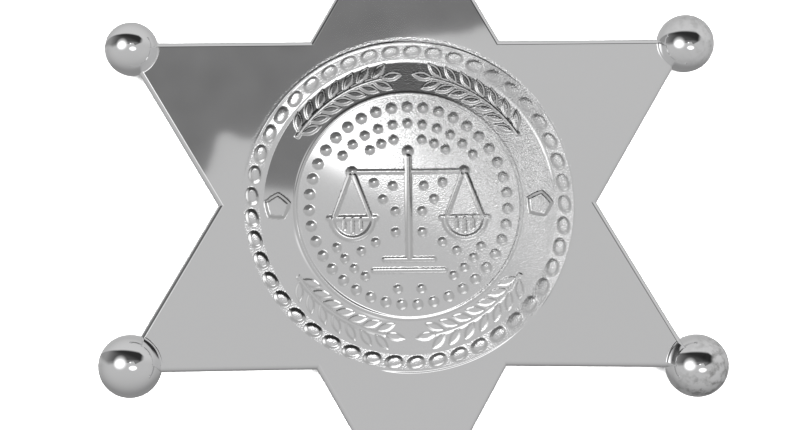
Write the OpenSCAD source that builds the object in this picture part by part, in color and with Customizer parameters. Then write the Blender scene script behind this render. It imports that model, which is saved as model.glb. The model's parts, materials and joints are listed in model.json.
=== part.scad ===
// Six-pointed star badge with ball tips, pressed in one piece from plated sheet metal.
// It lies on its back: z = 0 is the plane of its rims, +Z is the front and +Y the top point.
// Sizes are in millimetres.

/* [Star] */
// Distance from the centre to the sharp tip of a point
point_r = 33.8; // [30:0.2:44]
// Height of the flat face above the rims
face_h = 2.6; // [2.2:0.1:5]
// Thickness of the sheet
sheet_t = 0.8; // [0.5:0.1:1]
// Radius of the rolled edge round the face
roll_r = 0.5; // [0.2:0.05:0.8]

/* [Ball tips] */
// Diameter of a ball of the middle size
ball_d = 6.1; // [5:0.1:8]
// Distance from a sharp tip back to the centre of its ball
ball_set = 0.6; // [0:0.1:1.2]
// Depth of a ball's centre below the face
ball_sink = 0.5; // [0.2:0.05:0.8]
// Radius of the cove between a ball and the face
cove_r = 0.4; // [0.2:0.05:0.7]

/* [Medallion] */
// Radius of the medallion
medal_r = 17.2; // [16.5:0.1:18]
// Height of the medallion's ground above the face
medal_step = 0.35; // [0.2:0.05:0.8]
// Radius of the rounding round the medallion
medal_round = 0.2; // [0.05:0.05:0.2]
// Width of the bead border
border_w = 2.2; // [1.9:0.1:2.5]
// Width of the leaf band
band_w = 3.2; // [3:0.1:3.6]
// Width of the fine ring round the centre field
ring_w = 0.45; // [0.3:0.05:0.7]

/* [Bead border] */
// Length of a bead
bead_l = 2.1; // [1.6:0.05:2.15]
// Width of a bead
bead_w = 1.5; // [1:0.05:1.6]
// Height of a bead above the ground
bead_h = 0.5; // [0.3:0.05:0.6]
// Distance between two beads along the border
bead_pitch = 2.23; // [2.23:0.02:3]
// Slant of a bead against the border, in degrees
bead_slant = 12; // [0:1:25]

/* [Leaf band] */
// Length of a leaf
leaf_l = 2.15; // [1.6:0.05:2.3]
// Width of a leaf
leaf_w = 0.9; // [0.6:0.05:0.95]
// Height of a leaf's ridge above the ground
leaf_h = 0.36; // [0.2:0.02:0.45]
// Angle between a leaf and its stem, in degrees
leaf_splay = 35; // [30:1:40]
// Pairs of leaves on each of the four sprays
leaf_pairs = 7; // [3:1:7]
// Width of a stem
stem_w = 0.4; // [0.3:0.05:0.5]
// Half the arc that each pair of sprays covers, in degrees
spray_arc = 58; // [50:1:60]
// Gap between two sprays where their tips meet
spray_gap = 0.9; // [0.4:0.1:2]
// Radius of the small star at each side of the band, to its tips
pip_r = 1.45; // [1:0.05:1.5]
// Height of the small stars above the ground
pip_h = 0.35; // [0.2:0.05:0.5]

/* [Centre field] */
// Diameter of a raised dot
dot_d = 1.1; // [0.8:0.05:1.3]
// Height of a dot above the ground
dot_h = 0.32; // [0.2:0.02:0.45]
// Distance between two dots along their ring
dot_pitch = 1.6; // [1.5:0.05:2.2]
// Distance from the fine ring to the centres of the dots
dot_inset = 1.2; // [0.9:0.05:1.6]
// Diameter of the smaller dots strewn round the scales
grain_d = 0.95; // [0.6:0.05:1.1]

/* [Scales] */
// Half the height of the scales in the centre field
scales_r = 7; // [5:0.1:7.4]
// Width of the raised lines
line_w = 0.55; // [0.4:0.05:0.7]
// Height of the raised lines above the ground
line_h = 0.25; // [0.15:0.01:0.3]

/* [Pin clasp] */
// Length of the clasp's back strip
clasp_l = 27; // [20:0.5:29]
// Width of the back strip
clasp_w = 4; // [3:0.1:5]
// Thickness of the back strip
clasp_t = 0.45; // [0.3:0.05:0.6]
// Distance of the clasp above the centre
clasp_y = 4; // [0:0.5:5]
// Diameter of the pin
pin_d = 0.8; // [0.6:0.05:0.9]
// Length of the hinge barrel and of the catch along the strip
lug_l = 2; // [1:0.1:3]
// Distance of the barrel and the catch from the strip's ends
lug_set = 0.5; // [0:0.1:2]
// Gap between the back strip and the sheet
seat_gap = 0.05; // [0.03:0.01:0.1]
// Distance of the clasp's lowest parts above the rims
rest_gap = 0.2; // [0.15:0.05:0.3]

/* [Hidden] */
$fn = 48;

apothem = point_r / 2;
ground_z = face_h + medal_step;
ball_ring_r = point_r - ball_set;
reach = 2 * point_r;
below = 2;

border_mid_r = medal_r - border_w / 2;
bead_count = floor(360 * border_mid_r * PI / 180 / bead_pitch);
ring_r = medal_r - border_w - band_w - ring_w / 2;
band_mid_r = medal_r - border_w - band_w / 2;
field_r = ring_r - ring_w / 2;
dot_ring_r = field_r - dot_inset;
dot_count = floor(360 * dot_ring_r * PI / 180 / dot_pitch);
// Angle from one pair of leaves to the next, and how far up its step the first pair sits
leaf_step = (spray_arc - (leaf_l + spray_gap / 2) / band_mid_r * 180 / PI) / leaf_pairs;
first_leaf = 0.3;
// Depth of the small stars' notches, as a share of pip_r
pip_valley = 0.72;

// Each point of the star: [direction in degrees, its ball's size as a share of ball_d].
// The balls of the real badge vary a little.
tips = [[90, 1], [30, 0.98], [150, 0.92], [210, 1.04], [330, 1.06], [270, 1]];

// Straight lines of the scales, as shares of scales_r: [x0, y0, x1, y1, width as a share of line_w]
mid_lines = [
    [0, -0.77, 0, 0.72, 1.3],
    [-0.8, 0.5, 0.8, 0.5, 1],
    [-0.36, -0.79, 0.36, -0.79, 1.1],
    [-0.52, -0.95, 0.52, -0.95, 1.1]];
// Lines of the right-hand scale, which the left-hand one repeats, in the same form
side_lines = [
    [0.79, 0.45, 0.56, -0.15, 0.8],
    [0.85, 0.45, 1.08, -0.15, 0.8],
    [0.48, -0.18, 1.16, -0.18, 1.1],
    [0.7, -0.19, 0.7, -0.33, 0.75],
    [0.82, -0.19, 0.82, -0.38, 0.75],
    [0.94, -0.19, 0.94, -0.33, 0.75]];
// Pans of the scales, as shares of scales_r: [x, y, radius]. Each is the lower half of a ring.
pans = [[0.82, -0.18, 0.3], [-0.82, -0.18, 0.3]];
// Round ends of the scales, as shares of scales_r: [x, y]
knobs = [[0, 0.8], [0.82, 0.5], [-0.82, 0.5]];
// Arcs of small dots: [radius as a share of field_r, first and last direction in degrees, dots]
grain_arcs = [[0.745, 38, 142, 11], [0.61, 56, 78, 3], [0.61, 102, 124, 3],
    [0.75, 210, 238, 4], [0.75, 302, 330, 4], [0.76, 262, 278, 2]];
// Single small dots on the right, as shares of field_r: [x, y]. The left repeats them.
grains = [
    [0.14, 0.18], [0.23, 0.06], [0.12, -0.05], [0.12, -0.24], [0.31, 0.21],
    [0.3, -0.33], [0.43, -0.41]];

// All that lies behind one straight edge, with that edge rolled over
module edge_slab(dist, height, roll) {
    rotate([90, 0, 0]) linear_extrude(height = 2 * reach, center = true) union() {
        polygon([
            [-reach, -below], [dist, -below], [dist, height - roll],
            [dist - roll, height], [-reach, height]]);
        if (roll > 0) translate([dist - roll, height - roll]) circle(r = roll);
    }
}

module rolled_triangle(turn, dist, height, roll) {
    intersection() {
        rotate([0, 0, turn]) edge_slab(dist, height, roll);
        rotate([0, 0, turn + 120]) edge_slab(dist, height, roll);
        rotate([0, 0, turn + 240]) edge_slab(dist, height, roll);
    }
}

module six_points(dist, height, roll) {
    rolled_triangle(30, dist, height, roll);
    rolled_triangle(90, dist, height, roll);
}

// A hemisphere on a skirt that reaches down past the rims
module ball(r) {
    center_z = face_h - ball_sink;
    translate([0, 0, -below]) cylinder(r = r, h = center_z + below);
    translate([0, 0, center_z]) sphere(r = r);
}

// The cove runs round the ball, tangent to it and to the face
module cove(r) {
    center_z = face_h - ball_sink;
    foot_r = sqrt(pow(r + cove_r, 2) - pow(face_h + cove_r - center_z, 2));
    touch = r / (r + cove_r);
    touch_z = center_z + (face_h + cove_r - center_z) * touch;
    rotate_extrude() difference() {
        polygon([
            [0, center_z], [foot_r, center_z], [foot_r, face_h],
            [foot_r * touch, touch_z], [0, touch_z]]);
        translate([foot_r, face_h + cove_r]) circle(r = cove_r);
    }
}

// A round oval with pointed ends, lying along X and sunk so that it stands h above z = 0
module bead(l, w, h) {
    arc_r = (l * l + w * w) / (4 * w);
    translate([0, 0, h - w / 2]) rotate([0, 90, 0]) rotate_extrude() intersection() {
        translate([w / 2 - arc_r, 0]) circle(r = arc_r);
        translate([0, -l / 2]) square([w / 2, l]);
    }
}

// A leaf along X from the origin: two spheres meet in its ridge, which stands h above z = 0
module leaf(l, w, h) {
    side = (l * l - w * w) / (4 * w);
    depth = (l * l / 4 - h * h) / (2 * h);
    r = sqrt(pow(side + w / 2, 2) + depth * depth);
    translate([l / 2, 0, 0]) intersection() {
        translate([0, side, -depth]) sphere(r = r);
        translate([0, -side, -depth]) sphere(r = r);
        translate([-l, -w, -medal_step]) cube([2 * l, 2 * w, medal_step + 2 * h]);
    }
}

module dot(d, h) {
    translate([0, 0, h - d / 2]) sphere(d = d);
}

// A round-topped line with round ends from one point to another, of a width that is a share of
// line_w
module line(x0, y0, x1, y1, share) {
    len = norm([x1 - x0, y1 - y0]);
    r = line_w * share / 2;
    translate([x0, y0, line_h * share - r]) rotate([0, 90, atan2(y1 - y0, x1 - x0)])
        rotate_extrude() intersection() {
            union() {
                square([r, len]);
                circle(r = r);
                translate([0, len]) circle(r = r);
            }
            translate([0, -r]) square([r, len + 2 * r]);
        }
}

module medallion_ground() {
    rotate_extrude() union() {
        polygon([
            [0, face_h - sheet_t / 2], [medal_r, face_h - sheet_t / 2],
            [medal_r, ground_z - medal_round], [medal_r - medal_round, ground_z],
            [0, ground_z]]);
        translate([medal_r - medal_round, ground_z - medal_round]) circle(r = medal_round);
    }
    rotate_extrude() translate([ring_r, ground_z]) circle(d = ring_w);
}

module bead_border() {
    for (i = [0 : bead_count - 1])
        rotate([0, 0, i * 360 / bead_count]) translate([border_mid_r, 0, ground_z])
            rotate([0, 0, 90 + bead_slant]) bead(bead_l, bead_w, bead_h);
}

// One spray grows from the side of the band towards the middle of its arc
module spray() {
    rotate_extrude(angle = leaf_step * leaf_pairs) translate([band_mid_r, ground_z])
        circle(d = stem_w);
    for (i = [0 : leaf_pairs - 1], side = [-1, 1])
        rotate([0, 0, (i + first_leaf) * leaf_step])
            translate([band_mid_r - side * stem_w / 4, 0, ground_z])
                rotate([0, 0, 90 + side * leaf_splay]) leaf(leaf_l, leaf_w, leaf_h);
    rotate([0, 0, leaf_pairs * leaf_step]) translate([band_mid_r, -stem_w / 2, ground_z])
        rotate([0, 0, 90]) leaf(leaf_l, leaf_w, leaf_h);
}

module leaf_band() {
    for (half = [0, 180]) rotate([0, 0, 90 + half]) {
        rotate([0, 0, -spray_arc]) spray();
        mirror([0, 1, 0]) rotate([0, 0, -spray_arc]) spray();
    }
}

module small_star() {
    linear_extrude(height = pip_h + medal_step) polygon([
        for (i = [0 : 9]) let (r = i % 2 == 0 ? pip_r : pip_r * pip_valley, a = 90 + i * 36)
            [r * cos(a), r * sin(a)]]);
}

module dot_ring() {
    for (i = [0 : dot_count - 1])
        rotate([0, 0, 90 + i * 360 / dot_count]) translate([dot_ring_r, 0, 0]) dot(dot_d, dot_h);
}

module grain_field() {
    for (g = grains, side = [-1, 1])
        translate([side * g[0] * field_r, g[1] * field_r, 0]) dot(grain_d, dot_h);
    for (a = grain_arcs, i = [0 : a[3] - 1])
        rotate([0, 0, a[1] + (a[2] - a[1]) * i / (a[3] - 1)]) translate([a[0] * field_r, 0, 0])
            dot(grain_d, dot_h);
}

module scales() {
    for (s = mid_lines)
        line(s[0] * scales_r, s[1] * scales_r, s[2] * scales_r, s[3] * scales_r, s[4]);
    for (s = side_lines, side = [-1, 1])
        line(side * s[0] * scales_r, s[1] * scales_r, side * s[2] * scales_r, s[3] * scales_r, s[4]);
    for (k = knobs)
        translate([k[0] * scales_r, k[1] * scales_r, 0]) dot(dot_d, dot_h + line_h / 4);
    for (p = pans)
        translate([p[0] * scales_r, p[1] * scales_r, line_h - line_w / 2]) rotate([0, 0, 180])
            rotate_extrude(angle = 180) translate([p[2] * scales_r, 0]) circle(d = line_w);
}

module star_shell() {
    color("silver") difference() {
        union() {
            six_points(apothem, face_h, roll_r);
            for (t = tips) rotate([0, 0, t[0]]) translate([ball_ring_r, 0, 0]) {
                ball(ball_d * t[1] / 2);
            }
            intersection() {
                for (t = tips) rotate([0, 0, t[0]]) translate([ball_ring_r, 0, 0])
                    cove(ball_d * t[1] / 2);
                six_points(apothem - roll_r, face_h + 2 * cove_r, 0);
            }
            medallion_ground();
            bead_border();
            leaf_band();
            for (side = [-1, 1]) translate([side * band_mid_r, 0, face_h]) small_star();
            translate([0, 0, ground_z]) {
                dot_ring();
                grain_field();
                scales();
            }
        }
        six_points(apothem - sheet_t, face_h - sheet_t, 0);
        for (t = tips) rotate([0, 0, t[0]]) translate([ball_ring_r, 0, 0])
            ball(ball_d * t[1] / 2 - sheet_t);
        translate([0, 0, -below])
            cylinder(r = medal_r - sheet_t, h = ground_z - sheet_t + below);
        translate([-reach, -reach, -2 * below]) cube([2 * reach, 2 * reach, 2 * below]);
    }
}

// Back strip, hinge barrel, pin and catch, drawn closed as one plain piece
module pin_clasp() {
    back_z = ground_z - sheet_t - seat_gap;
    barrel_r = (back_z - clasp_t / 2 - rest_gap) / 2;
    lug_x = clasp_l / 2 - lug_set - lug_l / 2;
    color("gainsboro") translate([0, clasp_y, 0]) {
        translate([-clasp_l / 2, -clasp_w / 2, back_z - clasp_t]) cube([clasp_l, clasp_w, clasp_t]);
        for (side = [-1, 1]) translate([side * lug_x, 0, rest_gap + barrel_r])
            rotate([0, 90, 0]) cylinder(r = barrel_r, h = lug_l, center = true);
        translate([0, 0, rest_gap + barrel_r]) rotate([0, 90, 0])
            cylinder(d = pin_d, h = 2 * lug_x, center = true);
    }
}

star_shell();
pin_clasp();
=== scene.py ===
import json
import math

import bpy
import numpy as np
from mathutils import Matrix, Vector

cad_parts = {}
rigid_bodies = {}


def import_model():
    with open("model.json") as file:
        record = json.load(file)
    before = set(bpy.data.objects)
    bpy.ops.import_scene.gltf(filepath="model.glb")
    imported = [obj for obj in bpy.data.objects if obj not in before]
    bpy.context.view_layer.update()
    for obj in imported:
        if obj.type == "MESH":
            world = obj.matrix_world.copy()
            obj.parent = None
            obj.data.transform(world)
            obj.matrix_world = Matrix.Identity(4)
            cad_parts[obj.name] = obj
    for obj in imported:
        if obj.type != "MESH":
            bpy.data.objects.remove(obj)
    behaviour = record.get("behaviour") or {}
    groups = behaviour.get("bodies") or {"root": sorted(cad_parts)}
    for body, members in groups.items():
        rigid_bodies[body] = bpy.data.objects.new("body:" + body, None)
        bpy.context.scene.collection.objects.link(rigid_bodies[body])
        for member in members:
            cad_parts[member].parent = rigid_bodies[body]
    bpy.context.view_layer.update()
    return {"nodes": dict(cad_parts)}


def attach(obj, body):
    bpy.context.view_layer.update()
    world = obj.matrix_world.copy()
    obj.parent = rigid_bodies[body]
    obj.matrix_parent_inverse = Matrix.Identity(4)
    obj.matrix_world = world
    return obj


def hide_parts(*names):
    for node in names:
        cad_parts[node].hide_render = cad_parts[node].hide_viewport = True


# Blender's starting cube, lamp and camera are cleared away first
bpy.ops.object.select_all(action="SELECT")
bpy.ops.object.delete()
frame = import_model()


# Star badge, struck blank
# One sheet of plated metal is struck into a flat star whose edges roll over and down to the rims.
# The real star is a little uneven, so each corner and tip has its own offset in the plane.
# It is worked out in millimetres, and the finished mesh is scaled to metres.
# Height of the flat face over the rims, thickness of the sheet, radius of its rolled edge
face_h, sheet_t, roll_r = 2.6, 0.8, 0.5
# Distance from the centre to the points' tips and to the corners between them
tip_r, corner_r = 34.0, 19.45
# Direction of each tip or corner in degrees: its offset (x, y)
uneven = {0: (-0.02, -0.04), 30: (0.06, -0.06), 60: (-0.05, 0.07), 90: (0, 0),
          120: (-0.18, 0.1), 150: (0.06, -0.09), 180: (-0.02, 0.02), 210: (-0.15, 0.1),
          240: (0.19, 0.04), 270: (0.05, 0.02), 300: (0.09, 0.15), 330: (-0.02, -0.1)}
outline = []
for degrees, (offset_x, offset_y) in uneven.items():
    distance = tip_r if degrees % 60 == 30 else corner_r
    turn = math.radians(degrees)
    outline.append((distance * math.cos(turn) + offset_x, distance * math.sin(turn) + offset_y))


def edge_line(k):
    """Start, direction and outward direction of one straight edge of the outline."""
    start, end = Vector(outline[k]), Vector(outline[(k + 1) % 12])
    along = (end - start).normalized()
    return start, along, Vector((along.y, -along.x))


edges = [edge_line(k) for k in range(12)]


def inset(distance):
    """The outline moved inwards by a distance, square to each edge."""
    points = []
    for k in range(12):
        (a, along_a, out_a), (b, along_b, out_b) = edges[k - 1], edges[k]
        p, q = a - out_a * distance, b - out_b * distance
        points.append(p + along_a * ((q - p).cross(along_b) / along_a.cross(along_b)))
    return points


def prism(name, points, low, high):
    """A star-shaped block between two heights."""
    bpy.ops.object.select_all(action="DESELECT")
    bpy.ops.mesh.primitive_circle_add(vertices=len(points), fill_type="NGON")
    block = bpy.context.object
    block.name = name
    for v, point in zip(block.data.vertices, points):
        v.co = (point[0], point[1], low)
    bpy.ops.object.mode_set(mode="EDIT")
    bpy.ops.mesh.select_all(action="SELECT")
    bpy.ops.mesh.extrude_region_move(TRANSFORM_OT_translate={"value": (0, 0, high - low)})
    bpy.ops.mesh.select_all(action="SELECT")
    bpy.ops.mesh.normals_make_consistent(inside=False)
    bpy.ops.object.mode_set(mode="OBJECT")
    return block


star = prism("badge_star", outline, 0, face_h)
roll_rows = 8
bpy.ops.object.mode_set(mode="EDIT")
bpy.ops.mesh.select_all(action="DESELECT")
bpy.ops.object.mode_set(mode="OBJECT")
for v in star.data.vertices:
    v.select = v.co.z > face_h / 2
bpy.ops.object.mode_set(mode="EDIT")
bpy.ops.mesh.bevel(offset=roll_r, segments=roll_rows, profile=0.5, loop_slide=False)
bpy.ops.object.mode_set(mode="OBJECT")

# Star badge, ball tips
# Each point ends in a dome on a skirt that draws in below. A small cove runs round its foot,
# where the metal was drawn up out of the sheet. The domes differ a little in size and place.
ball_z, cove_r, skirt_tuck = face_h - 0.5, 0.22, 0.7
# Direction of each point in degrees: its ball's radius
ball_r = {90: 3.05, 30: 2.98, 150: 2.76, 210: 3.22, 330: 3.23, 270: 3.05}
ball_at = {90: (0, 33.2, ball_z), 30: (29.08, 16.52, ball_z), 150: (-28.29, 16.34, ball_z),
           210: (-28.46, -16.23, ball_z), 330: (29.42, -16.9, ball_z), 270: (0, -33.2, ball_z)}
# How far each dome's top faces aside, because none of them is quite true
ball_lean = {90: (0, 0), 30: (0, 0.14), 150: (0, -0.04), 210: (-0.05, -0.05), 330: (0.02, 0.04),
             270: (0, 0)}
ball_steps, ball_rows, skirt_rows, cove_rows = 96, 24, 6, 6
# How deep the coves reach into the face, and how far a cutter reaches past what it cuts
cove_sink, past = 0.3, 1.0


def combine(block, other, operation):
    """Joins, cuts or intersects two closed blocks and removes the second."""
    bpy.context.view_layer.objects.active = block
    modifier = block.modifiers.new("combine", "BOOLEAN")
    modifier.operation, modifier.object, modifier.solver = operation, other, "EXACT"
    bpy.ops.object.modifier_apply(modifier=modifier.name)
    bpy.data.objects.remove(other)
    return block


def lathe(name, profile, centre, steps):
    """Spins a profile of (radius, height) points about the upright axis through centre."""
    bpy.ops.object.select_all(action="DESELECT")
    mesh = bpy.data.meshes.new(name)
    lines = [(i, i + 1) for i in range(len(profile) - 1)]
    mesh.from_pydata([(r, 0, z) for r, z in profile], lines, [])
    turned = bpy.data.objects.new(name, mesh)
    bpy.context.collection.objects.link(turned)
    turned.select_set(True)
    bpy.context.view_layer.objects.active = turned
    bpy.ops.object.mode_set(mode="EDIT")
    bpy.ops.mesh.select_all(action="SELECT")
    bpy.ops.mesh.spin(steps=steps, angle=2 * math.pi, center=(0, 0, 0), axis=(0, 0, 1))
    bpy.ops.mesh.select_all(action="SELECT")
    bpy.ops.mesh.remove_doubles(threshold=0.0001)
    bpy.ops.mesh.normals_make_consistent(inside=False)
    bpy.ops.object.mode_set(mode="OBJECT")
    for v in mesh.vertices:
        v.co += Vector((centre[0], centre[1], 0))
    return turned


def dome(name, centre, radius, steps, rows, low, tuck=0.0):
    """A hemisphere on a skirt that reaches down to a height and draws in by a share."""
    profile = []
    for i in range(rows + 1):
        t = i * math.pi / 2 / rows
        profile.append((radius * math.sin(t), ball_z + radius * math.cos(t)))
    for i in range(1, skirt_rows + 1):
        z = ball_z + (low - ball_z) * i / skirt_rows
        profile.append((math.sqrt(radius ** 2 - (tuck * (ball_z - z)) ** 2), z))
    return lathe(name, [*profile, (0, low)], centre, steps)


def cove_foot(radius):
    """Distance from a ball's axis to the foot of its cove, where it touches the face."""
    return math.sqrt((radius + cove_r) ** 2 - (face_h + cove_r - ball_z) ** 2)


coves = None
for tip, radius in ball_r.items():
    foot, arc_z = cove_foot(radius), face_h + cove_r
    start = math.atan2(ball_z - arc_z, -foot)
    arc = []
    for i in range(cove_rows + 1):
        t = start + i * (-math.pi / 2 - start) / cove_rows
        arc.append((foot + cove_r * math.cos(t), arc_z + cove_r * math.sin(t)))
    base_z = face_h - cove_sink
    ring = lathe("cove", [(0, arc[0][1]), *arc, (foot, base_z), (0, base_z)], ball_at[tip],
                 ball_steps)
    coves = ring if coves is None else combine(coves, ring, "UNION")
# The coves stay on the flat face, inside its rolled edges
inner_face = prism("inner_face", inset(roll_r), face_h - past, face_h + 2 * past)
coves = combine(coves, inner_face, "INTERSECT")
for tip, radius in ball_r.items():
    ball = dome("ball", ball_at[tip], radius, ball_steps, ball_rows, 0, skirt_tuck)
    star = combine(star, ball, "UNION")

# Star badge, hollow back
# The sheet has one thickness, so the back is hollow under the face, the balls and the medallion,
# whose ground is struck up a step above the face. The coves are shells of their own on the face.
medal_r, medal_step = 17.2, 0.35
hollow = prism("hollow", inset(sheet_t), -2 * past, face_h - sheet_t)
for tip, radius in ball_r.items():
    inside = dome("inside", ball_at[tip], radius - sheet_t, ball_steps // 2, ball_rows // 2,
                  -2 * past)
    hollow = combine(hollow, inside, "UNION")
pan_r, pan_z = medal_r - sheet_t, face_h + medal_step - sheet_t
pan = lathe("pan", [(0, pan_z), (pan_r, pan_z), (pan_r, -2 * past), (0, -2 * past)], (0, 0),
            ball_steps)
hollow = combine(hollow, pan, "UNION")
star = combine(star, hollow, "DIFFERENCE")
bpy.ops.object.select_all(action="DESELECT")
coves.select_set(True)
star.select_set(True)
bpy.context.view_layer.objects.active = star
bpy.ops.object.join()

# Star badge, polished surface
# A mirror finish shows every facet, so the corners of the mesh face as the true forms do. A rolled
# edge leaves the flat face at a slight crease, as a struck edge does.
crease = math.radians(16)
# How near a mesh corner lies to the true form that it is on, and how far round a tip its forms end
ball_fit, fit, tip_reach = 0.03, 0.02, 5
# The upward part of a direction: at most so on a wall and on a skirt, at least so on a level face
upright, steep, level = 0.02, 0.7, 0.999


def true_at_tip(tip, v, n, up):
    """Directions n of one face's corners v, made true where the face is on a ball or its cove."""
    centre = np.array(ball_at[tip])
    apart = v - centre
    flat = np.hypot(apart[:, 0], apart[:, 1])
    if flat.min() > tip_reach:
        return n
    far = np.linalg.norm(apart, axis=1)
    middle_z = v[:, 2].mean()
    outer, inner = (ball_r[tip], 1, skirt_tuck), (ball_r[tip] - sheet_t, -1, 0)
    for radius, sign, tuck in (outer, inner):
        if middle_z > ball_z and np.abs(far - radius).max() < ball_fit:
            n = sign * apart / far[:, None]
            if sign > 0:
                n = n + n[:, 2:] * (*ball_lean[tip], 0)
                n /= np.linalg.norm(n, axis=1)[:, None]
        drop = tuck * apart[:, 2]
        on_skirt = np.abs(np.hypot(flat, drop) - radius).max() < ball_fit and abs(up) < steep
        if middle_z < ball_z and on_skirt:
            n = sign * np.c_[apart[:, :2], tuck * drop] / np.hypot(flat, tuck * drop)[:, None]
    foot = apart[:, :2] / np.maximum(flat, 1e-6)[:, None] * cove_foot(ball_r[tip])
    tube = np.c_[centre[:2] + foot, np.full(len(v), face_h + cove_r)]
    gap = np.linalg.norm(v - tube, axis=1)
    if abs(up) < level and np.abs(gap - cove_r).max() < fit:
        n = (tube - v) / gap[:, None]
    return n


def true_on_roll(v, n, up):
    """Directions n of one face's corners v, made true where the face is on a rolled edge."""
    slack, tight = 0.01, 0.001
    above = v[:, 2] - (face_h - roll_r)
    in_height = above.min() > -slack and v[:, 2].max() < face_h + tight
    if not in_height or not upright < up < level:
        return n
    for start, _, out in edges:
        aside = (v[:, 0] - start.x) * out.x + (v[:, 1] - start.y) * out.y + roll_r
        if np.abs(np.hypot(aside, above) - roll_r).max() < fit and aside.min() > -slack:
            lean = crease + np.arctan2(aside, above) * (1 - crease / (math.pi / 2))
            n = np.c_[np.sin(lean) * out.x, np.sin(lean) * out.y, np.cos(lean)]
    return n


corners = np.array([v.co for v in star.data.vertices])
star_directions = []
for face in star.data.polygons:
    v, up = corners[list(face.vertices)], face.normal.z
    n = np.tile(np.array(face.normal), (len(v), 1))
    for tip in ball_at:
        n = true_at_tip(tip, v, n, up)
    star_directions.extend(true_on_roll(v, n, up))

# Star badge, medallion
# The middle of the sheet is struck in low relief: a bead border on a flat roll, a band with four
# sprays of leaves and two small stars, a fine ring, and a field of dots round a pair of scales.
# Each rises from a soft foot, and the die struck harder above the middle than below it.
border_r, border_in, band_r, band_in, ring_r = 16.1, 15.0, 13.4, 11.8, 11.575
field_r, dot_ring_r = 11.35, 10.15


def soft(u, height, power=1.5):
    """A mound of a height over u from 0 at its middle to 1 at its foot."""
    return height * np.clip(1 - u * u, 0, None) ** power


def step(x, width):
    """A smooth rise from 0 to 1 over a width, with its middle at x = 0."""
    t = np.clip(x / width + 0.5, 0, 1)
    return t * t * (3 - 2 * t)


def strike(y):
    """How deep the die struck: fully above the middle, less and less below it."""
    return 0.16 + 0.84 * step(y - 1.0, 8)


def ground(x, y):
    """The bare ground: the band falls outwards, the border stands above it and rises to a rim,
    the right-hand side rises a little, and a wall drops to the face."""
    rim_r, dish_r = 16.87, 15.2
    r = np.hypot(x, y)
    upper = step(y - 2.0, 5)
    top, upper_left = step(y - 9.5, 5) * step(9 - x, 6), step(y - 8, 4) * step(4 - x, 6)
    lower_left, lower_right = step(-2.5 - y, 3) * step(-3 - x, 5), (1 - upper) * step(x + 2, 4)
    border = 0.07 * upper * step(r - border_in, 0.4)
    dish = 0.045 * np.clip(r - dish_r, 0, 1.6 + 0.3 * step(x - 4, 4))
    rim = soft(np.abs(r - rim_r) / 0.3, 0.04) * upper_left
    fall = (0.035 * step(12 - x, 8) + 0.045 * top) * np.clip(r - band_in, 0, 3.1)
    shelf = 0.012 * step(r - ring_r, 0.4) * lower_right
    ridge = 0.02 * step(r - ring_r + 0.2, 0.4) * step(ring_r + 0.35 - r, 0.25) * lower_left
    right_rise = 0.0013 * np.clip(x - 2, 0, 12) ** 2
    wall = step(medal_r - 0.11 - 0.01 * step(x + 2, 6) - r, 0.06)
    return (medal_step + border + dish + rim - fall + shelf + ridge + right_rise) * wall


def beads(x, y):
    """Flat-topped almond beads, each slanted against the border, deepest at the lower left."""
    count, slant, deepest = 45, math.radians(12), math.radians(216)
    half_l, half_w, foot, inward = 1.02, 0.7, 0.34, 0.1
    turn, out = np.arctan2(y, x), np.hypot(x, y) - border_r + inward
    pitch = 2 * math.pi / count
    own = np.round(turn / pitch) * pitch
    along = (turn - own) * border_r
    u = along * math.cos(slant) - out * math.sin(slant)
    w = along * math.sin(slant) + out * math.cos(slant)
    share = np.hypot(np.abs(u / half_l) ** 1.15, w / half_w)
    height = 0.018 + 0.09 * (0.5 + 0.5 * np.cos(own - deepest)) ** 8
    return height * step((1 - share) * half_w - foot / 2, foot) + soft(share, 0.012)


def leaf(x, y, root_x, root_y, angle):
    """A pointed leaf from its root, with a soft edge all round."""
    length, half_w, foot, height = 2.3, 0.5, 0.3, 0.13
    c, s = math.cos(angle), math.sin(angle)
    u, w = (x - root_x) * c + (y - root_y) * s, -(x - root_x) * s + (y - root_y) * c
    half = half_w * np.sin(np.clip(u / length, 0, 1) * math.pi) ** 0.8
    inside = (u > 0) & (u < length)
    return np.where(inside, height * step(half - np.abs(w) - foot / 2, foot), 0)


def sprays(x, y):
    """Four sprays, each a stem with seven pairs of leaves and one leaf at its end."""
    pairs, pair_step, splay, root_set = 7, 6.721, 35, 0.1
    first, last = 0.3, 6.88
    stem_half, stem_h, near_leaf = 0.28, 0.1, 2.5
    z = np.zeros_like(x)
    turned, r = np.degrees(np.arctan2(y, x)), np.hypot(x, y)
    for start, way in ((32, 1), (148, -1), (212, 1), (328, -1)):
        on_stem = (turned - start) * way % 360 < pairs * pair_step
        z = np.maximum(z, np.where(on_stem, soft(np.abs(r - band_r) / stem_half, stem_h), 0))
        leaves = [(i + first, side) for i in range(pairs) for side in (1, -1)] + [(last, 0)]
        for place, side in leaves:
            at = math.radians(start + way * place * pair_step)
            root_r = band_r - side * root_set
            root_x, root_y = root_r * math.cos(at), root_r * math.sin(at)
            near = np.hypot(x - root_x, y - root_y) < near_leaf
            if near.any():
                angle = at + way * math.radians(90 + side * splay)
                z[near] = np.maximum(z[near], leaf(x[near], y[near], root_x, root_y, angle))
    return z


def small_stars(x, y):
    """Five-pointed flat stars at the band's two sides, each turned a little."""
    # The valleys between the points are shallow: a share of the points' radius
    point_r, valley, height, foot, shrink = 1.5, 0.78, 0.25, 0.42, 0.92
    z = np.zeros_like(x)
    for side, turn in ((-1, 4), (1, 12)):
        dx, dy = x - side * band_r, y
        a = (np.degrees(np.arctan2(dy, dx)) - 90 + turn + 36) % 72 - 36
        edge = point_r * valley / (valley * np.cos(np.radians(36 - np.abs(a))) + 1 - valley)
        z = np.maximum(z, height * step(edge * shrink - np.hypot(dx, dy), foot))
    return z


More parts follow.
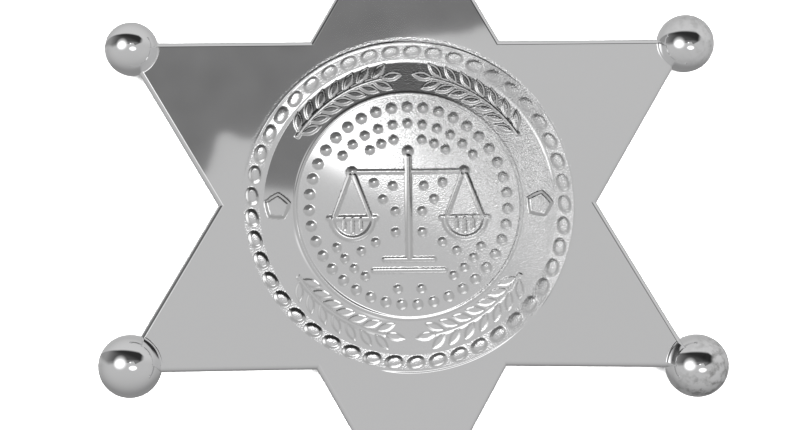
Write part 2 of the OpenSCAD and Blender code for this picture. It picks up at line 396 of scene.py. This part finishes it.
def dots(x, y):
    """A ring of dots along the field's edge and smaller dots strewn over the field."""
    ring_count, ring_dot, small_dot, height = 39, 0.6, 0.52, 0.032
    spots = []
    for i in range(ring_count):
        a = math.pi / 2 + i * 2 * math.pi / ring_count
        spots.append((dot_ring_r * math.cos(a), dot_ring_r * math.sin(a), ring_dot))
    # Arcs of dots: radius as a share of the field's, first and last direction in degrees, dots
    arcs = ((0.745, 38, 142, 11), (0.61, 56, 78, 3), (0.61, 102, 124, 3), (0.75, 210, 238, 4),
            (0.75, 302, 330, 4), (0.76, 262, 278, 2))
    for share, first, last, count in arcs:
        for i in range(count):
            a = math.radians(first + (last - first) * i / (count - 1))
            spots.append((share * field_r * math.cos(a), share * field_r * math.sin(a), small_dot))
    # Single dots as shares of the field's radius, here and mirrored to the left
    singles = ((0.14, 0.18), (0.23, 0.06), (0.12, -0.05), (0.12, -0.24), (0.31, 0.21),
               (0.3, -0.33), (0.43, -0.41))
    for right, up in singles:
        for side in (1, -1):
            spots.append((side * right * field_r, up * field_r, small_dot))
    z = np.zeros_like(x)
    for at_x, at_y, radius in spots:
        far = np.hypot(x - at_x, y - at_y)
        near = far < radius
        z[near] = np.maximum(z[near], soft(far[near] / radius, height, 1.2))
    return z


def scales(x, y):
    """A post with a beam and two pans, in raised lines. Sizes are shares of its half height."""
    scales_r = 7.0
    # Lines on the middle and lines of the right-hand pan, which the left-hand one mirrors: ends
    # x0, y0, x1, y1 and width
    middle = ((0, -0.77, 0, 0.72, 1.2), (-0.8, 0.5, 0.8, 0.5, 0.9), (-0.36, -0.79, 0.36, -0.79, 1),
              (-0.52, -0.95, 0.52, -0.95, 1))
    sides = ((0.79, 0.45, 0.56, -0.15, 0.8), (0.85, 0.45, 1.08, -0.15, 0.8),
             (0.48, -0.18, 1.16, -0.18, 1.1), (0.7, -0.19, 0.7, -0.33, 0.75),
             (0.82, -0.19, 0.82, -0.38, 0.75), (0.94, -0.19, 0.94, -0.33, 0.75))
    half_line, flat_h, upright_h = 0.34, 0.02, 0.065
    pan_x, pan_y, pan_mid, pan_half, pan_h = 0.82 * scales_r, 0.18 * scales_r, 2.1, 0.36, 0.025
    knob_r, knob_h = 0.62, 0.05
    z = np.zeros_like(x)
    for over_x, lines in ((x, middle), (np.abs(x), sides)):
        for x0, y0, x1, y1, width in lines:
            ax, ay, bx, by = (end * scales_r for end in (x0, y0, x1, y1))
            dx, dy = bx - ax, by - ay
            t = np.clip(((over_x - ax) * dx + (y - ay) * dy) / (dx * dx + dy * dy), 0, 1)
            height = flat_h + upright_h * abs(dy) / math.hypot(dx, dy) * strike(y)
            far = np.hypot(over_x - ax - t * dx, y - ay - t * dy)
            z = np.maximum(z, soft(far / (half_line * width), height))
    bowl = soft(np.abs(np.hypot(np.abs(x) - pan_x, y + pan_y) - pan_mid) / pan_half, pan_h)
    z = np.maximum(z, np.where(y < -pan_y, bowl, 0))
    for knob_x, knob_y in ((0, 0.8), (0.82, 0.5)):
        far = np.hypot(np.abs(x) - knob_x * scales_r, y - knob_y * scales_r)
        z = np.maximum(z, soft(far / knob_r, knob_h, 1.3))
    return z


def relief(x, y):
    """The ground with all that is struck in it."""
    ring_half, ring_h = 0.26, 0.01 + 0.028 * step(y - 3, 12) * step(4 - x, 8)
    z = ground(x, y) + beads(x, y) + sprays(x, y) * strike(y) + small_stars(x, y)
    z = z + soft(np.abs(np.hypot(x, y) - ring_r) / ring_half, ring_h)
    return z + np.maximum(dots(x, y), scales(x, y))


# A fine polar grid carries the relief. It has three zones, from and to a radius, each with its
# rows and its columns all round.
zones = ((0.0, 4.5, 37, 180), (4.5, 9.3, 38, 360), (9.3, 17.5, 70, 720))
rings = [(r0 + (r1 - r0) * (i + 1) / rows, columns)
         for r0, r1, rows, columns in zones for i in range(rows)]
plan, first_of = [(0.0, 0.0)], []
for r, columns in rings:
    first_of.append(len(plan))
    for j in range(columns):
        turn = 2 * math.pi * j / columns
        plan.append((r * math.cos(turn), r * math.sin(turn)))
plan = np.array(plan)
columns = rings[0][1]
faces = [(0, 1 + j, 1 + (j + 1) % columns) for j in range(columns)]
for k in range(1, len(rings)):
    a, b, columns, outer_columns = first_of[k - 1], first_of[k], rings[k - 1][1], rings[k][1]
    for j in range(columns):
        after = a + (j + 1) % columns
        if columns == outer_columns:
            faces.append((a + j, b + j, b + (j + 1) % columns, after))
        else:
            left, middle, right = b + 2 * j, b + 2 * j + 1, b + (2 * j + 2) % outer_columns
            faces += [(a + j, left, middle), (a + j, middle, after), (middle, right, after)]

# The medallion was struck a little below the star's middle. Outside its wall, the grid lies just
# under the face. Its slopes are taken over a probe each way. The steep flanks of what is struck get
# painted shade: a darker base colour over all of them that stands in for shade.
off_y, sunk, wall_foot, probe, full_shade_slope = -0.2, 0.02, 0.03, 0.03, 0.09
plan_x, plan_y = plan[:, 0], plan[:, 1]
heights = relief(plan_x, plan_y)
either_side, bare = [], []
for dx, dy in ((probe, 0), (-probe, 0), (0, probe), (0, -probe)):
    either_side.append(relief(plan_x + dx, plan_y + dy))
    bare.append(ground(plan_x + dx, plan_y + dy))
slope_x = (either_side[0] - either_side[1]) / (2 * probe)
slope_y = (either_side[2] - either_side[3]) / (2 * probe)
raised = [struck - plain for struck, plain in zip(either_side, bare)]
flank_slope = np.hypot(raised[0] - raised[1], raised[2] - raised[3]) / (2 * probe)
# Share of painted shade at each point, full where what is struck rises steeply
flank_shade_share = np.clip(flank_slope / full_shade_slope, 0, 1)
directions = np.c_[-slope_x, -slope_y, np.ones(len(plan))]
directions /= np.linalg.norm(directions, axis=1)[:, None]
top = np.c_[plan_x, plan_y + off_y, face_h - sunk + heights + sunk * (heights > wall_foot)]
medallion_mesh = bpy.data.meshes.new("medallion")
medallion_mesh.from_pydata(top.tolist(), [], faces)
medallion = bpy.data.objects.new("medallion", medallion_mesh)
bpy.context.collection.objects.link(medallion)

star_loops = len(star.data.loops)
bpy.ops.object.select_all(action="DESELECT")
medallion.select_set(True)
star.select_set(True)
bpy.context.view_layer.objects.active = star
bpy.ops.object.join()
mesh = star.data
first_point = len(mesh.vertices) - len(top)
# Each point's share of painted shade is kept on the mesh for the plate's base colour
flank_painted_shade = mesh.attributes.new("flank_painted_shade", "FLOAT", "POINT")
for i, share in enumerate(flank_shade_share):
    flank_painted_shade.data[first_point + i].value = share
loop_directions = [tuple(n) for n in star_directions]
for loop in mesh.loops[star_loops:]:
    loop_directions.append(tuple(directions[loop.vertex_index - first_point]))
metres = 0.001
mesh.transform(Matrix.Scale(metres, 4))
mesh.update()
bpy.ops.object.shade_smooth()
mesh.normals_split_custom_set(loop_directions)


# Star badge, bright plate
# The plating is mirror smooth on the flat of the star. In the struck relief it has a fine grain,
# strongest towards the upper right. The steep flanks of the relief carry painted shade, a darker
# base colour that stands in for shade there. The two balls on the right have tarnished, the lower
# one more than the upper one. Places on the plate are in metres.
def calc(tree, operation, *values):
    """One math node; each value is a number or another node's output."""
    node = tree.nodes.new("ShaderNodeMath")
    node.operation = operation
    for i, value in enumerate(values):
        if isinstance(value, (int, float)):
            node.inputs[i].default_value = value
        else:
            tree.links.new(value, node.inputs[i])
    return node.outputs[0]


def rise(tree, value, low, high):
    """A smooth step from 0 at low to 1 at high."""
    node = tree.nodes.new("ShaderNodeMapRange")
    node.interpolation_type = "SMOOTHSTEP"
    tree.links.new(value, node.inputs["Value"])
    node.inputs["From Min"].default_value = low
    node.inputs["From Max"].default_value = high
    return node.outputs["Result"]


def length(tree, x, y):
    """Length of a flat vector."""
    squares = calc(tree, "ADD", calc(tree, "MULTIPLY", x, x), calc(tree, "MULTIPLY", y, y))
    return calc(tree, "SQRT", squares)


def noise(tree, place, scale, detail):
    """Cloudy noise over a place."""
    node = tree.nodes.new("ShaderNodeTexNoise")
    tree.links.new(place, node.inputs["Vector"])
    node.inputs["Scale"].default_value = scale
    node.inputs["Detail"].default_value = detail
    return node.outputs["Fac"]


def plated(name):
    """A metal material, with its node tree, its shader and its place on the object."""
    material = bpy.data.materials.new(name)
    material.use_nodes = True
    tree = material.node_tree
    shader = tree.nodes["Principled BSDF"]
    shader.inputs["Metallic"].default_value = 1
    return material, tree, shader, tree.nodes.new("ShaderNodeTexCoord").outputs["Object"]


def tone(tree, shader, bright, dark, share):
    """Base colour between a bright and a dark one."""
    mix = tree.nodes.new("ShaderNodeMix")
    mix.data_type = "RGBA"
    mix.inputs["A"].default_value = (*bright, 1)
    mix.inputs["B"].default_value = (*dark, 1)
    tree.links.new(share, mix.inputs["Factor"])
    tree.links.new(mix.outputs["Result"], shader.inputs["Base Color"])


def emboss(tree, shader, height, distance):
    """Bump of a height over the surface."""
    node = tree.nodes.new("ShaderNodeBump")
    node.inputs["Distance"].default_value = distance
    tree.links.new(height, node.inputs["Height"])
    tree.links.new(node.outputs["Normal"], shader.inputs["Normal"])
    return node


plate, tree, shader, place = plated("bright_plate")
split = tree.nodes.new("ShaderNodeSeparateXYZ")
tree.links.new(place, split.inputs[0])
px, py = split.outputs["X"], split.outputs["Y"]
reach = length(tree, px, py)
in_medallion = calc(tree, "SUBTRACT", 1.0, rise(tree, reach, 0.0168, 0.0174))
in_border = calc(tree, "MULTIPLY", in_medallion, rise(tree, reach, 0.0148, 0.0152))
towards_upper_right = calc(tree, "MULTIPLY_ADD", px, 0.8, calc(tree, "MULTIPLY", py, 0.5))
worn = calc(tree, "MULTIPLY", in_medallion, rise(tree, towards_upper_right, -0.005, 0.011))
struck_rough = calc(tree, "MULTIPLY_ADD", in_medallion, 0.02, 0.035)
tree.links.new(calc(tree, "MULTIPLY_ADD", worn, 0.04, struck_rough), shader.inputs["Roughness"])
tarnish = rise(tree, noise(tree, place, 1300, 8), 0.4, 0.74)
lower_more = calc(tree, "MULTIPLY_ADD", rise(tree, py, -0.005, 0.005), -0.6, 1.0)
on_balls = calc(tree, "MULTIPLY", rise(tree, reach, 0.031, 0.0355), rise(tree, px, 0.02, 0.025))
tarnish = calc(tree, "MULTIPLY", calc(tree, "MULTIPLY", tarnish, on_balls), lower_more)
# Painted shade: the steep flanks of the relief get a darker base colour that stands in for shade.
# The base colour takes whichever is darker, this painted shade or the balls' tarnish.
flank_shade_node = tree.nodes.new("ShaderNodeAttribute")
flank_shade_node.attribute_name = "flank_painted_shade"
flank_shade_amount = calc(tree, "MULTIPLY", flank_shade_node.outputs["Fac"], 0.42)
tone(tree, shader, (0.86, 0.86, 0.865), (0.38, 0.38, 0.375), calc(tree, "MAXIMUM", tarnish, flank_shade_amount))
grain = emboss(tree, shader, noise(tree, place, 6500, 2), 0.000016)
worn_share = calc(tree, "MULTIPLY", worn, calc(tree, "MULTIPLY_ADD", in_border, -0.45, 0.95))
tree.links.new(calc(tree, "MULTIPLY_ADD", in_border, 0.2, worn_share), grain.inputs["Strength"])
star.data.materials.clear()
star.data.materials.append(plate)
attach(star, "root")
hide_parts("star_shell")

# Pin clasp
# A plain strip with a barrel, a catch and the pin between them, of duller plated steel, fixed
# inside the hollow back. The steel was drawn lengthwise, which left fine streaks along it.
wire, tree, shader, place = plated("plated_wire")
stretch = tree.nodes.new("ShaderNodeMapping")
stretch.inputs["Scale"].default_value = (0.05, 1, 1)
tree.links.new(place, stretch.inputs["Vector"])
streak = noise(tree, stretch.outputs["Vector"], 4000, 4)
tree.links.new(calc(tree, "MULTIPLY_ADD", streak, 0.24, 0.2), shader.inputs["Roughness"])
tone(tree, shader, (0.63, 0.63, 0.64), (0.46, 0.46, 0.45), rise(tree, streak, 0.45, 0.75))
emboss(tree, shader, streak, 0.00001).inputs["Strength"].default_value = 0.4
clasp = frame["nodes"]["pin_clasp"]
clasp.data.materials.clear()
clasp.data.materials.append(wire)

# Floor
# A sheet of white paper under the badge, lit by two soft lights. The metal mirrors the studio
# round it, and neither the paper nor the lights.
bpy.ops.object.select_all(action="DESELECT")
bpy.ops.mesh.primitive_plane_add(size=4)
floor = bpy.context.object
floor.name = "floor"
paper = bpy.data.materials.new("white_paper")
paper.use_nodes = True
shader = paper.node_tree.nodes["Principled BSDF"]
shader.inputs["Base Color"].default_value = (0.9, 0.9, 0.9, 1)
shader.inputs["Roughness"].default_value = 0.9
shader.inputs["Specular IOR Level"].default_value = 0
floor.data.materials.append(paper)
floor.visible_glossy = False
light_size, light_h = 0.5, 0.5
for x, y, energy in ((-0.25, 0.2, 12.0), (0.3, -0.1, 10.0)):
    data = bpy.data.lights.new("soft_light", "AREA")
    data.shape, data.size, data.energy = "DISK", light_size, energy
    light = bpy.data.objects.new("soft_light", data)
    bpy.context.collection.objects.link(light)
    light.location = (x, y, light_h)
    light.rotation_mode = "QUATERNION"
    light.rotation_quaternion = light.location.to_track_quat("Z", "Y")
    light.visible_glossy = False

# Studio
# A bright room with a dark opening towards its far side, a brighter patch at the opening's lower
# edge, and two lamps. Directions are written as q, the sideways parts over one plus the upward
# part, so the flat face mirrors a small part of the room and the balls mirror nearly all of it.
world = bpy.data.worlds.new("studio")
bpy.context.scene.world = world
world.use_nodes = True
tree = world.node_tree
tree.nodes.clear()


def blend(a, b, share):
    """a where share is 0 and b where it is 1."""
    node = tree.nodes.new("ShaderNodeMix")
    node.data_type = "FLOAT"
    for name, value in (("A", a), ("B", b), ("Factor", share)):
        if isinstance(value, (int, float)):
            node.inputs[name].default_value = value
        else:
            tree.links.new(value, node.inputs[name])
    return node.outputs["Result"]


def run(slope, start):
    """A straight line over the sideways direction."""
    return calc(tree, "MULTIPLY_ADD", qx, slope, start)


def lamp(x, y, wide, tall, edge):
    """1 inside an oval and 0 outside, over a soft edge."""
    dx = calc(tree, "DIVIDE", calc(tree, "SUBTRACT", qx, x), wide)
    dy = calc(tree, "DIVIDE", calc(tree, "SUBTRACT", qy, y), tall)
    return calc(tree, "SUBTRACT", 1.0, rise(tree, length(tree, dx, dy), 1 - edge, 1 + edge))


sphere = tree.nodes.new("ShaderNodeTexCoord").outputs["Generated"]
split = tree.nodes.new("ShaderNodeSeparateXYZ")
tree.links.new(sphere, split.inputs[0])
depth = calc(tree, "MAXIMUM", calc(tree, "ADD", split.outputs["Z"], 1.0), 0.02)
qx = calc(tree, "DIVIDE", split.outputs["X"], depth)
qy = calc(tree, "DIVIDE", split.outputs["Y"], depth)
leftward = calc(tree, "MULTIPLY", qx, -1.0)
downward = calc(tree, "MULTIPLY", qy, -1.0)
mottle = noise(tree, sphere, 60, 5)

# The opening's lower edge, in straight runs from left to right. It blurs away from the middle.
drop_run = run(-1.5, 0.285)
left_run = calc(tree, "MAXIMUM", calc(tree, "MINIMUM", run(3.0, 0.1658), 0.0649), 0.055)
left_run = calc(tree, "MINIMUM", left_run, drop_run)
mid_run = calc(tree, "MINIMUM", run(0.64, 0.079), run(0.15, 0.0884))
mid_run = calc(tree, "MINIMUM", mid_run, drop_run)
end_runs = calc(tree, "MAXIMUM", run(0.5, -0.075), run(-0.35, -0.245))
low_edge = calc(tree, "MAXIMUM", calc(tree, "MAXIMUM", left_run, mid_run), end_runs)
far_out = calc(tree, "MAXIMUM", calc(tree, "SUBTRACT", calc(tree, "ABSOLUTE", qx), 0.12), 0.0)
blur = calc(tree, "MULTIPLY_ADD", far_out, 0.12, 0.0008)
ragged = calc(tree, "MULTIPLY_ADD", mottle, 0.008, calc(tree, "SUBTRACT", qy, 0.004))
above_low = calc(tree, "DIVIDE", calc(tree, "SUBTRACT", ragged, low_edge), blur)
above_low = rise(tree, above_low, -1.0, 1.0)

# Its top, which lifts to the left, and its right-hand end
left_lift = calc(tree, "MULTIPLY", calc(tree, "MAXIMUM", leftward, 0.5), 0.1)
top_runs = calc(tree, "MINIMUM", run(-0.12, 0.46), run(-0.7, 0.66))
top_edge = calc(tree, "ADD", top_runs, left_lift)
under_top = rise(tree, calc(tree, "SUBTRACT", top_edge, qy), -0.05, 0.05)
end_edge = calc(tree, "MULTIPLY_ADD", qy, 0.3, 0.39)
left_of_end = rise(tree, calc(tree, "SUBTRACT", end_edge, qx), -0.1, 0.1)
opening = calc(tree, "MULTIPLY", calc(tree, "MULTIPLY", above_low, under_top), left_of_end)

# Brightness of the room, which is greyer below and towards the horizon, and of its bright patch
low_half = blend(0.56, 0.36, rise(tree, downward, 0.1, 1.6))
room = blend(low_half, 0.66, rise(tree, qy, 0.0, 0.4))
greyer = calc(tree, "MULTIPLY_ADD", rise(tree, length(tree, qx, qy), 0.6, 2.0), -0.22, 1.0)
room = blend(calc(tree, "MULTIPLY", room, greyer), 2.0, lamp(0.013, 0.0725, 0.026, 0.019, 0.12))

# Brightness of the opening, which is deepest high up and pales to the left
deep = blend(0.2, 0.085, rise(tree, qy, 0.125, 0.175))
upward = calc(tree, "MULTIPLY_ADD", qx, 0.4, qy)
deep = blend(deep, 0.03, rise(tree, upward, 0.16, 0.36))
deep = calc(tree, "MULTIPLY", deep, calc(tree, "MULTIPLY_ADD", mottle, 0.5, 0.75))
dark = blend(deep, 0.31, rise(tree, leftward, 0.35, 1.3))
glow = blend(room, dark, opening)

# The left-hand lamp's halo, the lamp in it and the right-hand lamp: brightness, then middle,
# half width, half height and soft edge
for brightness, spot in ((0.6, (-0.34, 0.055, 0.22, 0.23, 0.35)),
                         (2.0, (-0.335, 0.035, 0.16, 0.13, 0.7)),
                         (2.0, (0.1, -0.112, 0.115, 0.066, 0.38))):
    glow = blend(glow, brightness, lamp(*spot))
sky = tree.nodes.new("ShaderNodeBackground")
tree.links.new(glow, sky.inputs["Color"])
out = tree.nodes.new("ShaderNodeOutputWorld")
tree.links.new(sky.outputs[0], out.inputs["Surface"])

# Camera
# It stands a little below and to the left of the star's centre, almost square to its face.
camera = bpy.data.cameras.new("camera")
camera.lens, camera.sensor_width = 81.0, 36.0
eye = bpy.data.objects.new("camera", camera)
bpy.context.collection.objects.link(eye)
eye.matrix_world = Matrix(((0.99937, 0.01032, -0.03394, -0.00713),
                           (-0.01318, 0.99628, -0.08514, -0.01684),
                           (0.03293, 0.08553, 0.99579, 0.18617), (0, 0, 0, 1)))
bpy.context.scene.camera = eye
bpy.context.scene.view_settings.view_transform = "Standard"
